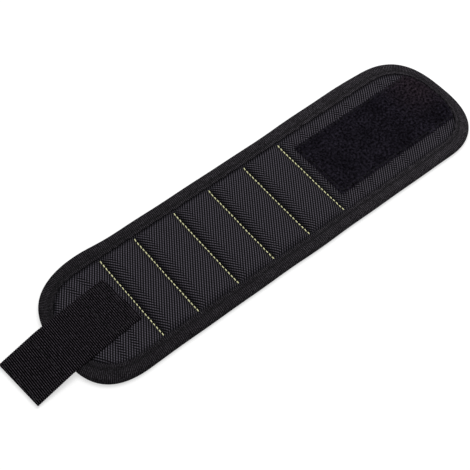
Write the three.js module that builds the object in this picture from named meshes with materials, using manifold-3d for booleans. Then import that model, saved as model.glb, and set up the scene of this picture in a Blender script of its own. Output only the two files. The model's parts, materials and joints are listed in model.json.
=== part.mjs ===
// Magnetic wristband: a padded fabric band, open and lying face up. Five sewn pockets hold disc magnets,
// a loop patch covers the far end, and a webbing strap with a hook patch is sewn to the near end.
// Millimetres, +Z up, +X from the strap towards the loop end, origin under the middle of the whole.
// Cloth that runs through a fold is cut there, so each section between two folds is rigid.
import * as THREE from "three";
import { mergeVertices } from "three/addons/utils/BufferGeometryUtils.js";
import Module from "manifold-3d";

// Band, seen from above
const bandWidth = 90;
const strapEndStraight = 16; // first sewn row to the rounding of the strap's end
const pocketLengths = [27, 32, 29, 30, 30]; // from one sewn row to the next
const loopPanelLength = 38; // from fold to fold past the last sewn row
const loopEndStraight = 9; // last fold to the rounding of the loop end
const endReach = 40; // length that the rounding of an end takes
const endRoundness = 2.5; // exponent of the rounded end's outline, 2 is an ellipse
const endArcSteps = 14;

// Cloth layers and the clearance between them
const clothThickness = 0.6;
const seatGap = 0.3;
const foldGap = 0.8; // between the two sections that meet at a fold

// Heights above the table
const foldCrown = 3.7; // face over a sewn row
const pocketCrown = 7.2;
const endCrown = 5.3;
const grooveHeight = 2; // how far a fold draws the underside up
const grooveReach = 3;
const crownReach = 10; // from a sewn row to the full height
const crownRoundness = 2.5;
const edgeCrownReach = 8; // from the edge tape to the full height
const crownStepShares = [0.12, 0.3, 0.6, 1];
const edgeStepShares = [0.3, 1];

// Edge tape, folded round the rim
const tapeWidth = 10;
const tapeHeight = 5.3;
const tapeRadius = 1;
const chamferShare = 0.29; // middle of a corner arc, as a share of its radius

// Disc magnets
const magnetDiameter = 20;
const magnetThickness = 2.5;
const magnetTop = 5.3;
const magnetSpacing = 34; // between the two in one pocket
const magnetChamfer = 0.3;
const magnetSides = 20;

// Loop patch
const loopWidth = 49;
const loopThickness = 1.4;
const loopStart = 7; // past the last sewn row
const loopBend = 14; // length over which its far end goes down to the tape
const loopBendShares = [1, 0.8, 0.6, 0.4, 0.2, 0];
const loopAcrossShares = [-1, -0.8, -0.6, -0.3, 0, 0.3, 0.6, 0.8, 1];

// Strap and hook patch
const strapWidth = 38;
const strapThickness = 1.4;
const strapStart = 5; // sewn end, before the first sewn row
const strapSewnLength = 26;
const strapPastEnd = 3; // bend of the strap, past the band's rounded end
const strapTipLength = 28;
const strapOffset = 2.5; // strap's sewn end from the band's centre line
const strapSkew = THREE.MathUtils.degToRad(5.4);
const strapEdge = 0.5; // rounding of the webbing's edges
const hookLength = 25;
const hookWidth = 36;
const hookThickness = 1.2;
const hookMargin = 0.5; // hook patch back from the strap's cut end

const halfWidth = bandWidth / 2;
const halfGap = foldGap / 2;
const layerStep = clothThickness + seatGap;

const wasm = await Module();
wasm.setup();

const cloth = (color, roughness) => new THREE.MeshStandardMaterial({ color, roughness, metalness: 0 });
const faceFabric = cloth(0x2a282e, 0.75);
const liningMesh = cloth(0x1d1d20, 0.9);
const foam = cloth(0x3b3b3f, 0.95);
const edgeTape = cloth(0x33352f, 0.8);
const loopPile = cloth(0x17161a, 1);
const hookTape = cloth(0x1b1b1d, 0.6);
const webbing = cloth(0x26262a, 0.8);
const nickel = new THREE.MeshStandardMaterial({ color: 0xc9c6bf, roughness: 0.25, metalness: 1 });

// Solids
const band = new THREE.Group();

function addPiece(parent, name, geometry, material) {
  const mesh = new THREE.Mesh(geometry, material);
  mesh.name = name;
  parent.add(mesh);
  return mesh;
}

function merged(geometry) {
  const bare = geometry.clone();
  bare.deleteAttribute("normal");
  bare.deleteAttribute("uv");
  return mergeVertices(bare);
}

function toSolid(geometry) {
  const bare = merged(geometry);
  return new wasm.Manifold(
    new wasm.Mesh({
      numProp: 3,
      vertProperties: bare.attributes.position.array,
      triVerts: new Uint32Array(bare.index.array),
    }),
  );
}

function fromSolid(solid) {
  const mesh = solid.getMesh();
  const geometry = new THREE.BufferGeometry();
  geometry.setAttribute("position", new THREE.BufferAttribute(mesh.vertProperties, 3));
  geometry.setIndex(new THREE.BufferAttribute(mesh.triVerts, 1));
  return geometry;
}

function indexed(vertices, triangles) {
  const geometry = new THREE.BufferGeometry();
  geometry.setAttribute("position", new THREE.Float32BufferAttribute(vertices.flat(), 3));
  geometry.setIndex(triangles.flat());
  return geometry;
}

// A flat mesh in plan from rows of points. Points in one place become one, and every face turns left.
function planMesh(rows) {
  const points = [];
  const known = new Map();
  const indexOf = (point) => {
    const key = point.x.toFixed(4) + " " + point.y.toFixed(4);
    if (!known.has(key)) known.set(key, points.push(point) - 1);
    return known.get(key);
  };
  const triangles = [];
  const add = (a, b, c) => {
    if (a === b || b === c || c === a) return;
    const [p, q, r] = [points[a], points[b], points[c]];
    const turn = (q.x - p.x) * (r.y - p.y) - (q.y - p.y) * (r.x - p.x);
    triangles.push(turn > 0 ? [a, b, c] : [a, c, b]);
  };
  for (let i = 1; i < rows.length; i++)
    for (let j = 1; j < rows[i].length; j++) {
      const [a, b] = [rows[i - 1][j - 1], rows[i - 1][j]].map(indexOf);
      const [c, d] = [rows[i][j], rows[i][j - 1]].map(indexOf);
      add(a, b, c);
      add(a, c, d);
    }
  return { points, triangles };
}

// The closed solid between two heights over a plan.
function layer(plan, bottomAt, topAt) {
  const count = plan.points.length;
  const vertices = [bottomAt, topAt].flatMap((heightAt) =>
    plan.points.map((point) => [point.x, point.y, heightAt(point)]),
  );
  const triangles = plan.triangles.flatMap(([a, b, c]) => [
    [a, c, b],
    [count + a, count + b, count + c],
  ]);
  const edges = new Set(
    plan.triangles.flatMap(([a, b, c]) => [a + " " + b, b + " " + c, c + " " + a]),
  );
  for (const edge of edges) {
    const [a, b] = edge.split(" ").map(Number);
    if (edges.has(b + " " + a)) continue;
    triangles.push([a, b, count + b], [a, count + b, count + a]);
  }
  return indexed(vertices, triangles);
}

// A solid through equal closed rings of points, each the flat section again, which turns left.
function loft(rings, section) {
  const count = section.length;
  const last = (rings.length - 1) * count;
  const triangles = THREE.ShapeUtils.triangulateShape(section, []).flatMap(([a, b, c]) => [
    [a, c, b],
    [last + a, last + b, last + c],
  ]);
  for (let start = 0; start < last; start += count)
    for (let i = 0; i < count; i++) {
      const next = (i + 1) % count;
      triangles.push(
        [start + i, start + next, start + count + next],
        [start + i, start + count + next, start + count + i],
      );
    }
  const outwards = toSolid(indexed(rings.flat(), triangles)).volume() > 0;
  return indexed(rings.flat(), outwards ? triangles : triangles.map(([a, b, c]) => [a, c, b]));
}

// Sections of the band, in order along +X. A section bends at each fold it has, and only a sewn fold
// draws its face down. One with a rounded end says which way that end points.
const rows = pocketLengths.reduce((places, length) => [...places, places.at(-1) + length], [0]);
const lastRow = rows.at(-1);
const loopFolds = [lastRow + loopPanelLength, lastRow + 2 * loopPanelLength];
const strapEnd = -(strapEndStraight + endReach);
const farEnd = loopFolds[1] + loopEndStraight + endReach;

const sections = [
  { name: "strap_end", from: strapEnd, to: 0, crown: endCrown, sewn: [0], folds: [0], points: -1 },
  ...pocketLengths.map((length, index) => ({
    name: "pocket_" + (index + 1),
    from: rows[index],
    to: rows[index + 1],
    crown: pocketCrown,
    sewn: [rows[index], rows[index + 1]],
    folds: [rows[index], rows[index + 1]],
    points: 0,
    magnets: true,
  })),
  {
    name: "loop_end_1",
    from: lastRow,
    to: loopFolds[0],
    crown: endCrown,
    sewn: [lastRow],
    folds: [lastRow, loopFolds[0]],
    points: 0,
  },
  {
    name: "loop_end_2",
    from: loopFolds[0],
    to: loopFolds[1],
    crown: endCrown,
    sewn: [],
    folds: loopFolds,
    points: 0,
  },
  {
    name: "loop_end_3",
    from: loopFolds[1],
    to: farEnd,
    crown: endCrown,
    sewn: [],
    folds: [loopFolds[1]],
    points: 1,
  },
];

// Heights of the cloth at a point, whose edge is 1 on the band's rim and 0 on its centre line.
const tapeEdge = 1 - tapeWidth / halfWidth;
const faceUnderTape = tapeHeight - layerStep;

function rise(distance, reach) {
  const share = THREE.MathUtils.clamp(distance / reach, 0, 1);
  return (1 - (1 - share) ** crownRoundness) ** (1 / crownRoundness);
}

function faceTop(section, point) {
  const along = Math.min(1, ...section.sewn.map((row) => rise(Math.abs(point.x - row) - halfGap, crownReach)));
  const inner = foldCrown + (section.crown - foldCrown) * along;
  return faceUnderTape + (inner - faceUnderTape) * rise((tapeEdge - point.edge) * halfWidth, edgeCrownReach);
}

function grooveLift(section, x) {
  const lifts = section.folds.map((fold) => {
    const past = (Math.abs(x - fold) - halfGap) / (grooveReach - halfGap);
    return grooveHeight * THREE.MathUtils.clamp(1 - past, 0, 1);
  });
  return Math.max(0, ...lifts);
}

function liningBottom(section, point) {
  const overTape = point.edge > liningEdges[1] - seatGap / bandWidth ? layerStep : 0;
  return grooveLift(section, point.x) + overTape;
}

// Places of the mesh lines, from the rim inwards as shares of the half width, and from a fold onwards.
const rimEdge = 1 - layerStep / halfWidth;
const crownEdges = edgeStepShares.map((share) => tapeEdge - (share * edgeCrownReach) / halfWidth);
const faceEdges = [rimEdge, tapeEdge, ...crownEdges];
const liningEdges = [
  rimEdge,
  tapeEdge - seatGap / halfWidth,
  tapeEdge - (seatGap + 2 * clothThickness) / halfWidth,
];
const foamEdges = [rimEdge - layerStep / halfWidth, ...faceEdges.slice(1)];
const crownSteps = crownStepShares.map((share) => halfGap + share * crownReach);
const foamInset = crownSteps[1];

// Distances from a fold at which a layer's mesh has lines, up to a limit.
const upTo = (steps, limit) => steps.filter((step) => step < limit);
const faceSteps = (sewn) => (sewn ? [halfGap, ...crownSteps] : [halfGap]);
const liningSteps = () => [halfGap, grooveReach];
const foamSteps = (sewn) => (sewn ? crownSteps.slice(1) : [foamInset]);

// Plan of a straight section: lines across the band at each step, from edge to edge.
function straightPlan(section, stepsOf, edges) {
  const { from, to } = section;
  const middle = (from + to) / 2;
  const near = upTo(stepsOf(section.sewn.includes(from)), middle - from).map((step) => from + step);
  const far = upTo(stepsOf(section.sewn.includes(to)), to - middle).map((step) => to - step);
  const across = [...edges.map((edge) => -edge), ...[...edges].reverse()];
  return planMesh(
    [...near, ...far.reverse()].map((x) =>
      across.map((share) => ({ x, y: share * halfWidth, edge: Math.abs(share) })),
    ),
  );
}

// A place on the rounded end's outline, drawn in towards the centre line by the edge share.
function endPoint(section, angle, edge) {
  const tip = section.points < 0 ? section.from : section.to;
  const power = 2 / endRoundness;
  const out = Math.max(Math.cos(angle), 0) ** power;
  const side = Math.sign(angle) * Math.abs(Math.sin(angle)) ** power;
  return {
    x: tip - section.points * endReach * (1 - edge * out),
    y: edge * halfWidth * side,
    edge,
  };
}

// Stations round a rounded section: along one side, round the end and back along the other side.
function endStations(section, stepsOf) {
  const [fold] = section.folds;
  const straight = section.to - section.from - endReach;
  const steps = upTo(stepsOf(section.sewn.length > 0), straight);
  const side = (sign) => (step) => (edge) => ({
    x: fold + section.points * step,
    y: sign * edge * halfWidth,
    edge,
  });
  const arc = Array.from({ length: endArcSteps + 1 }, (_, index) => {
    const angle = Math.PI * (index / endArcSteps - 1 / 2);
    return (edge) => endPoint(section, angle, edge);
  });
  return [...steps.map(side(-1)), ...arc, ...steps.reverse().map(side(1))];
}

function endPlan(section, stepsOf, edges) {
  return planMesh([...edges, 0].map((edge) => endStations(section, stepsOf).map((station) => station(edge))));
}

const planOf = (section, stepsOf, edges) =>
  section.points ? endPlan(section, stepsOf, edges) : straightPlan(section, stepsOf, edges);

// Face, padding and lining
function addFace(section) {
  const top = (point) => faceTop(section, point);
  const geometry = layer(planOf(section, faceSteps, faceEdges), (point) => top(point) - clothThickness, top);
  addPiece(band, "face_" + section.name, geometry, faceFabric);
}

function addLining(section) {
  const plan = planOf(section, liningSteps, liningEdges);
  const bottom = (point) => liningBottom(section, point);
  const geometry = layer(plan, bottom, (point) => bottom(point) + clothThickness);
  addPiece(band, "lining_" + section.name, geometry, liningMesh);
}

function addPadding(section) {
  const plan = planOf(section, foamSteps, foamEdges);
  const bottom = (point) => (point.edge > tapeEdge - seatGap / halfWidth ? 2 : 1) * layerStep;
  let geometry = layer(plan, bottom, (point) => faceTop(section, point) - layerStep);
  if (section.magnets) {
    const recesses = magnetPlaces(section).map(magnetRecess);
    const cut = recesses.reduce((solid, recess) => solid.subtract(toSolid(recess)), toSolid(geometry));
    geometry = fromSolid(cut);
  }
  addPiece(band, "padding_" + section.name, geometry, foam);
}

// Magnets, two to a pocket, let into the padding just under the face
function magnetPlaces(section) {
  const x = (section.from + section.to) / 2;
  const bottom = magnetTop - magnetThickness;
  return [-magnetSpacing / 2, magnetSpacing / 2].map((y) => new THREE.Vector3(x, y, bottom));
}

function magnetRecess(place) {
  const depth = pocketCrown - place.z + seatGap;
  const radius = magnetDiameter / 2 + seatGap;
  const recess = new THREE.CylinderGeometry(radius, radius, depth, magnetSides);
  recess.rotateX(Math.PI / 2);
  recess.translate(place.x, place.y, place.z - seatGap + depth / 2);
  return recess;
}

function magnetGeometry() {
  const radius = magnetDiameter / 2;
  const profile = [
    [0, 0],
    [radius - magnetChamfer, 0],
    [radius, magnetChamfer],
    [radius, magnetThickness - magnetChamfer],
    [radius - magnetChamfer, magnetThickness],
    [0, magnetThickness],
  ];
  const disc = new THREE.LatheGeometry(
    profile.map(([x, y]) => new THREE.Vector2(x, y)),
    magnetSides,
  );
  return disc.rotateX(Math.PI / 2);
}

function addMagnets(section) {
  magnetPlaces(section).forEach((place, index) => {
    const side = ["near", "far"][index];
    const disc = addPiece(band, `magnet_${section.name}_${side}`, magnetGeometry(), nickel);
    disc.position.copy(place);
  });
}

// Edge tape: one folded section, from its upper inside edge round the rim to its lower inside edge.
// Each point is its distance in from the rim and its height, and a lift raises the lower leg.
function tapeSection(lift) {
  const arc = chamferShare * tapeRadius;
  return [
    [tapeWidth, tapeHeight],
    [tapeRadius, tapeHeight],
    [arc, tapeHeight - arc],
    [0, tapeHeight - tapeRadius],
    [0, lift + tapeRadius],
    [arc, lift + arc],
    [tapeRadius, lift],
    [tapeWidth, lift],
    [tapeWidth, lift + clothThickness],
    [clothThickness, lift + clothThickness],
    [clothThickness, tapeHeight - clothThickness],
    [tapeWidth, tapeHeight - clothThickness],
  ];
}

function tapeAlong(section, stations) {
  const rings = stations.map((station) =>
    tapeSection(grooveLift(section, station(1).x)).map(([inset, height]) => {
      const { x, y } = station(1 - inset / halfWidth);
      return [x, y, height];
    }),
  );
  const flat = tapeSection(grooveHeight).map(([inset, height]) => new THREE.Vector2(inset, height));
  return loft(rings, flat);
}

function addTape(section) {
  if (section.points) {
    const geometry = tapeAlong(section, endStations(section, liningSteps));
    addPiece(band, "edge_tape_" + section.name, geometry, edgeTape);
    return;
  }
  for (const [side, sign] of [["near", -1], ["far", 1]]) {
    const near = liningSteps().map((step) => section.from + step);
    const far = liningSteps().map((step) => section.to - step);
    const stations = [...near, ...far.reverse()].map((x) => (edge) => ({ x, y: sign * edge * halfWidth }));
    addPiece(band, `edge_tape_${section.name}_${side}`, tapeAlong(section, stations), edgeTape);
  }
}

// Loop patch: cut at the folds, and following the face down to the tape at its far end
const roundFrom = farEnd - endReach;

function edgeShare(x, y) {
  const out = Math.max(x - roundFrom, 0) / endReach;
  return (out ** endRoundness + Math.abs(y / halfWidth) ** endRoundness) ** (1 / endRoundness);
}

// Where the tape's inside edge lies across the loop patch.
function tapeInside(y) {
  const edge = tapeEdge - seatGap / endReach;
  const out = (edge ** endRoundness - Math.abs(y / halfWidth) ** endRoundness) ** (1 / endRoundness);
  return roundFrom + endReach * out;
}

function addLoop(section) {
  const start = Math.max(section.from + halfGap, lastRow + loopStart);
  const toTape = section.points > 0;
  const linesAt = (y) =>
    toTape ? loopBendShares.map((share) => tapeInside(y) - share * loopBend) : [section.to - halfGap];
  const across = (toTape ? loopAcrossShares : [-1, 1]).map((share) => (share * loopWidth) / 2);
  const plan = planMesh(across.map((y) => [start, ...linesAt(y)].map((x) => ({ x, y, edge: edgeShare(x, y) }))));
  const bottom = (point) => faceTop(section, point) + seatGap;
  const geometry = layer(plan, bottom, (point) => bottom(point) + loopThickness);
  addPiece(band, "loop_patch_" + section.name.slice(-1), geometry, loopPile);
}

// Strap: sewn to the near end, then free, then drooping to the table with the hook patch under it.
// In its own frame +X runs to the tip and z is 0 under the webbing.
const strapLevel = tapeHeight + seatGap;
const strapFreeLength = strapPastEnd - strapEnd - strapStart - strapSewnLength;
const pivotLevel = strapThickness / 2;
const hookBottom = pivotLevel + seatGap + hookThickness;
const tipSpan = Math.hypot(strapTipLength, hookBottom);
const tipDroop = Math.asin((strapLevel + pivotLevel) / tipSpan) - Math.atan2(hookBottom, strapTipLength);

function strapRun(length, width = strapWidth, thickness = strapThickness, edge = strapEdge) {
  const [side, top] = [width / 2, thickness];
  const outline = new THREE.Shape(
    [
      [edge - side, 0],
      [side - edge, 0],
      [side, edge],
      [side, top - edge],
      [side - edge, top],
      [edge - side, top],
      [-side, top - edge],
      [-side, edge],
    ].map(([x, y]) => new THREE.Vector2(x, y)),
  );
  const run = new THREE.ExtrudeGeometry(outline, { depth: length, bevelEnabled: false, steps: 1 });
  // The outline stands across the strap and is drawn along +X.
  return run.applyMatrix4(
    new THREE.Matrix4().makeBasis(
      new THREE.Vector3(0, 1, 0),
      new THREE.Vector3(0, 0, 1),
      new THREE.Vector3(1, 0, 0),
    ),
  );
}

function addStrap() {
  const strap = new THREE.Group();
  strap.position.set(-strapStart, strapOffset, strapLevel);
  strap.rotation.z = Math.PI + strapSkew;
  band.add(strap);

  addPiece(strap, "strap_sewn", strapRun(strapSewnLength - halfGap), webbing);

  const free = addPiece(strap, "strap_free", strapRun(strapFreeLength - foldGap), webbing);
  free.position.x = strapSewnLength + halfGap;

  const tip = new THREE.Group();
  tip.position.set(strapSewnLength + strapFreeLength, 0, pivotLevel);
  tip.rotation.y = tipDroop;
  strap.add(tip);
  const end = addPiece(tip, "strap_tip", strapRun(strapTipLength - halfGap), webbing);
  end.position.set(halfGap, 0, -pivotLevel);
  const hook = addPiece(tip, "hook_patch", strapRun(hookLength, hookWidth, hookThickness, seatGap), hookTape);
  hook.position.set(strapTipLength - hookMargin - hookLength, 0, -hookBottom);
}

for (const section of sections) {
  addFace(section);
  addPadding(section);
  addLining(section);
  addTape(section);
  if (section.magnets) addMagnets(section);
  if (section.to > lastRow) addLoop(section);
}
addStrap();

// Origin under the middle of the whole
band.updateMatrixWorld(true);
const box = new THREE.Box3().setFromObject(band, true);
const middle = box.getCenter(new THREE.Vector3());
band.position.set(-middle.x, -middle.y, -box.min.z);

const wristband = new THREE.Group();
wristband.add(band);
export default wristband;
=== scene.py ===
"""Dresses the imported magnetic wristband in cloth, tape, thread and pile, around its fixed frame."""

import json
import math

import bmesh
import bpy
import numpy as np
from bpy.props import FloatProperty, FloatVectorProperty, PointerProperty
from bpy.types import Operator, Panel, PropertyGroup
from mathutils import Matrix, Quaternion, Vector

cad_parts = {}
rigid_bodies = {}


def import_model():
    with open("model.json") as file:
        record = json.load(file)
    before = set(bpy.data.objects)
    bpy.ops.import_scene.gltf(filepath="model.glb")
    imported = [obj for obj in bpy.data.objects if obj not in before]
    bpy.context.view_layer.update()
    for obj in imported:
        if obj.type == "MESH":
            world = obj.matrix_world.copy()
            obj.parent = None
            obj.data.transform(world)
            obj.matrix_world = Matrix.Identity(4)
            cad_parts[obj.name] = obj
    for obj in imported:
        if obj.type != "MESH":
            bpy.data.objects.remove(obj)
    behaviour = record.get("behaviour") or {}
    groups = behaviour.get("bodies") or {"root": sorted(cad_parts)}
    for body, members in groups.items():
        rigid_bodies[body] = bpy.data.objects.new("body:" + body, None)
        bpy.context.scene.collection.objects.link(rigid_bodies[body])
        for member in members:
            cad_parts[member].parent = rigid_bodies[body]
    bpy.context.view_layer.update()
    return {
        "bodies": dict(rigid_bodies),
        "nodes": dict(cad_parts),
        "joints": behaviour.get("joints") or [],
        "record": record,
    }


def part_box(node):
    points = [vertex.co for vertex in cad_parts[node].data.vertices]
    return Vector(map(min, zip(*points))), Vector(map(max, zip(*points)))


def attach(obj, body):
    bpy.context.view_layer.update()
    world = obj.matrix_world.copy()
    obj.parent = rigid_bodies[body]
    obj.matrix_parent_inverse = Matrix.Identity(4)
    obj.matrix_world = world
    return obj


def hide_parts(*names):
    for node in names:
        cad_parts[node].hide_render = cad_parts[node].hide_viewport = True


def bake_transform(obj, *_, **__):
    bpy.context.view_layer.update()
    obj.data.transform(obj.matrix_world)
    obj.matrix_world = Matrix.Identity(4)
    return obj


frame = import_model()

bl_info = {
    "name": "Magnetic wristband",
    "version": (1, 0, 0),
    "blender": (4, 5, 0),
    "location": "View3D > Sidebar > Wristband",
    "description": "Makes the cloth, tape, thread and pile of a magnetic wristband around its frame",
    "category": "Object",
}

mm = 0.001
inset_of_cloth = 0.9 * mm  # the cloth's own edge, inside the folded tape
inset_at_tip = 4.8 * mm  # the same at the loop end, where the rim is drawn in
tape_turn_in = 1 * mm  # the tape's edge, turned in under itself
merge_distance = 0.001 * mm  # points closer than this are one point
CLOTH = "cloth"  # the UV map of every new piece; on cloth, tape and webbing in metres over the flat cloth
LEAN = "lean"  # on the face: 1 where the cloth leans towards the strap, 0 elsewhere
CREASE_SHADE = "crease"  # on the face: how much painted shade the weave gets, along a sewn row and along the tape

tip_along_rim = 324 * mm  # the tip of the loop end, from the start of the rim's line

# Where the rim isn't regular: the distance along it, the spread, and how far it bulges out or is drawn in
rim_bulges = [
    (tip_along_rim, 22 * mm, -2.6 * mm),
    (416 * mm, 33 * mm, 2.5 * mm),  # the far side, beside the loop patch
    (520 * mm, 60 * mm, 0.9 * mm),  # the far side, along the pockets
    (630 * mm, 13 * mm, 2.3 * mm),  # the far corner of the strap's end
    (743 * mm, 15 * mm, 2.4 * mm),  # its near corner
]

# How many waves run round the whole rim
rim_wander = (7, 12, 17)
inside_edge_wander = (61, 97, 131)
seam_gathers = (131, 173, 211)

# The band's sections in order along +X, and the folds between them
sections = sorted(
    (body for body in frame["bodies"] if "face_" + body in frame["nodes"]),
    key=lambda body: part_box("face_" + body)[0].x,
)
neighbours = list(zip(sections, sections[1:]))


def joint_between(*bodies):
    """The joint that joins two bodies."""
    return next(j for j in frame["joints"] if {j["parent"], j["child"]} == set(bodies))


folds = [joint_between(*pair)["pos_m"][0] for pair in neighbours]
last_fold = len(folds) - 1
sewn_rows = [fold for fold, pair in zip(folds, neighbours) if "pocket" in "".join(pair)]

# The band's outline and heights
band_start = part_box("edge_tape_" + sections[0])[0].x
band_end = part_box("edge_tape_" + sections[-1])[1].x
tape_low, tape_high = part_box("edge_tape_pocket_1_near")
half_width = -tape_low.y
tape_width = tape_high.y - tape_low.y
tape_top = tape_high.z
pocket_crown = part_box("face_pocket_1")[1].z
end_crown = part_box("face_loop_end_1")[1].z
middles = [(a + b) / 2 for a, b in zip(folds, folds[1:])]
cuts = [band_start, *middles, band_end]
patch_low, patch_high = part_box("loop_patch_1")

# The strap's line, from its joints
lift = Vector(joint_between("strap_end", "strap_free")["pos_m"])
bend = Vector(joint_between("strap_free", "strap_tip")["pos_m"])
free_strap = (bend - lift).xy.length
strap_across = Vector(joint_between("strap_end", "strap_free")["axis"]).normalized()
strap_along = strap_across.cross(Vector((0, 0, 1)))
mounts = {mount["name"]: mount for mount in frame["record"]["mounts"]}
hook_centre = Vector(mounts["hook_face"]["pos_m"])
hook_down = Vector(mounts["hook_face"]["axis"]).normalized()
strap_droop = math.acos(-hook_down.z)


# Sizes, colours and stage settings that a user can change


def length_prop(name, description, default):
    """A length."""
    return FloatProperty(name=name, description=description, default=default, unit="LENGTH")


def angle_prop(name, description, degrees):
    """An angle, with its default in degrees."""
    return FloatProperty(name=name, description=description, default=math.radians(degrees), subtype="ANGLE")


def number_prop(name, description, default, unit="NONE"):
    """A plain number, or one with a unit."""
    return FloatProperty(name=name, description=description, default=default, unit=unit)


def colour_prop(name, description, default):
    """A colour."""
    return FloatVectorProperty(name=name, description=description, default=default, subtype="COLOR")


def place_prop(name, description, default):
    """A place."""
    return FloatVectorProperty(
        name=name, description=description, default=default, subtype="TRANSLATION", unit="LENGTH"
    )


class ClothSizes(PropertyGroup):
    """Face, padding, lining and edge tape."""

    thickness: length_prop("Cloth", "Thickness of face and lining", 0.6 * mm)
    row_height: length_prop("Row height", "Face over a sewn row", 3.3 * mm)
    under_tape: length_prop("Under the tape", "Face where it goes under the tape", 4.4 * mm)
    crown_reach: length_prop("Crown reach", "From a sewn row to the full height", 12.5 * mm)
    edge_reach: length_prop("Edge reach", "From the tape to the full height", 8 * mm)
    puff: number_prop("Puff", "How quickly the cloth rises to its crown", 3.3)
    end_reach: length_prop("End reach", "Length of a rounded end", 40 * mm)
    end_roundness: number_prop("End roundness", "Exponent of a rounded end", 2.5)
    unevenness: length_prop("Unevenness", "Slow waves of the padded face", 0.1 * mm)
    ruffle: length_prop("Ruffle", "Waves of the face between the rows, most towards both ends", 0.42 * mm)
    pucker: length_prop("Pucker", "Small folds beside a sewn row", 0.14 * mm)
    edge_wave: length_prop("Edge wave", "How far the tape's inside edge wanders", 0.6 * mm)
    rim_wave: length_prop("Rim wave", "How far the rim wanders in and out", 0.3 * mm)
    row_groove: length_prop("Row groove", "How far a row draws the lining up", 0.9 * mm)
    rim_radius: length_prop("Rim radius", "Rounding of the tape", 1.9 * mm)
    bend_reach: length_prop("Bend reach", "Half of the cloth that bends at a sewn row", 4 * mm)
    long_bend_reach: length_prop("Long bend reach", "Half of the cloth that bends past the rows", 12 * mm)


class ThreadSizes(PropertyGroup):
    """Rows of stitches."""

    row_stitch: length_prop("Row stitch", "Pitch of the rows", 3.1 * mm)
    row_thread: length_prop("Row thread", "Thickness of the rows' thread", 0.7 * mm)
    row_slant: length_prop("Row slant", "How far a stitch lies off its row", 0.16 * mm)
    row_reach: length_prop("Row reach", "Half of a row's length", 34.5 * mm)
    tape_stitch: length_prop("Tape stitch", "Pitch along the tape and round the loop patch", 3 * mm)
    tape_thread: length_prop("Tape thread", "Thickness of the black thread", 0.6 * mm)
    tape_seam: length_prop("Tape seam", "Stitches in from the rim", 6.5 * mm)
    strap_stitch: length_prop("Strap stitch", "Pitch on the strap", 2.9 * mm)


class PatchSizes(PropertyGroup):
    """Loop patch and hook patch."""

    base: length_prop("Base", "Thickness of the woven base", 0.8 * mm)
    loop_height: length_prop("Loop height", "Height of the pile", 0.75 * mm)
    loop_spacing: length_prop("Loop spacing", "From loop to loop", 0.66 * mm)
    stray: length_prop("Stray", "How far loops hang over the patch's edges", 3 * mm)
    loop_thread: length_prop("Loop thread", "Thickness of a loop's thread", 0.13 * mm)
    hook_length: length_prop("Hook length", "Hook patch along the strap", 25 * mm)
    hook_width: length_prop("Hook width", "Hook patch across the strap", 36 * mm)
    hook_base: length_prop("Hook base", "Thickness under the hooks", 0.5 * mm)
    hook_rise: length_prop("Hook rise", "Height of the hooks", 0.7 * mm)


class StrapSizes(PropertyGroup):
    """Webbing strap."""

    width: length_prop("Width", "Width of the webbing", 38 * mm)
    thickness: length_prop("Thickness", "Thickness of the webbing", 1.4 * mm)
    sewn: length_prop("Sewn", "Length sewn to the band", 26 * mm)
    tip: length_prop("Tip", "Length past the bend", 29.5 * mm)
    rib: length_prop("Rib", "Pitch of the cross ribs", 1.34 * mm)
    rib_height: length_prop("Rib height", "Relief of a rib", 0.3 * mm)
    rib_skew: angle_prop("Rib skew", "Ribs off square", 4.8)


class Colours(PropertyGroup):
    """Colours of the finishes."""

    # face, tape and strap are the colours of the painted highlights on the weave's nubs and on the ribs; the
    # finishes darken them much for the gaps between
    face: colour_prop("Face", "Nylon yarn that catches the light", (0.132, 0.12, 0.148))
    face_dark: colour_prop("Face, dark", "Nylon yarn across it", (0.002, 0.002, 0.0025))
    tape: colour_prop("Tape", "Edge tape", (0.054, 0.0494, 0.0565))
    strap: colour_prop("Strap", "Ribs of the webbing", (0.052, 0.045, 0.055))
    pile: colour_prop("Pile", "Loops of the patch", (0.0235, 0.0205, 0.0305))
    worn_pile: colour_prop("Pile, worn", "Loops at the tip", (0.05, 0.037, 0.049))
    hooks: colour_prop("Hooks", "Moulded hook patch", (0.012, 0.012, 0.014))
    lining: colour_prop("Lining", "Knitted mesh", (0.022, 0.021, 0.024))
    foam: colour_prop("Foam", "Padding", (0.09, 0.09, 0.1))
    yellow: colour_prop("Yellow thread", "Thread of the rows", (0.98, 0.98, 0.56))
    black: colour_prop("Black thread", "Thread of the tape", (0.006, 0.006, 0.007))
    nickel: colour_prop("Nickel", "Plate of the magnets", (0.62, 0.6, 0.56))


class StageSettings(PropertyGroup):
    """Camera, lamp, sky and floor."""

    eye: place_prop("Eye", "Place of the camera", (-0.25626, -0.31417, 0.6154))
    target: place_prop("Target", "Where the camera looks", (-0.01095, -0.00227, 0))
    roll: angle_prop("Roll", "Turn of the camera about its view", -0.605)
    lens: number_prop("Lens", "Focal length in millimetres", 85.81)
    lamp: place_prop("Lamp", "Place of the soft lamp above the loop end", (0.2, 0.1, 0.92))
    lamp_width: length_prop("Lamp width", "Width of the soft lamp", 0.7)
    key: number_prop("Key lamp", "Power of the soft lamp above", 6.3, unit="POWER")
    sky: number_prop("Sky", "Even light from all round", 0.4)
    floor: number_prop("Floor", "How much of the light the floor shows where it is seen", 0.5)
    glow: number_prop("Glow", "What floor and backdrop add to that where they are seen", 0.59)


def settings(group):
    """One group of the scene's sizes, colours or stage settings."""
    return getattr(bpy.context.scene, "wristband_" + group)


# Shape of the band in plan and in height


def smooth(share):
    """A share from 0 to 1 that starts and ends gently."""
    return share * share * (3 - 2 * share)


def bell(distance, reach):
    """1 at no distance, and nearly 0 from twice the reach."""
    return np.exp(-((distance / reach) ** 2))


def length_so_far(*coordinates):
    """The length of a line of points up to each of them."""
    steps = np.linalg.norm(np.diff(coordinates, axis=1), axis=0)
    return np.concatenate([[0], np.cumsum(steps)])


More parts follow.
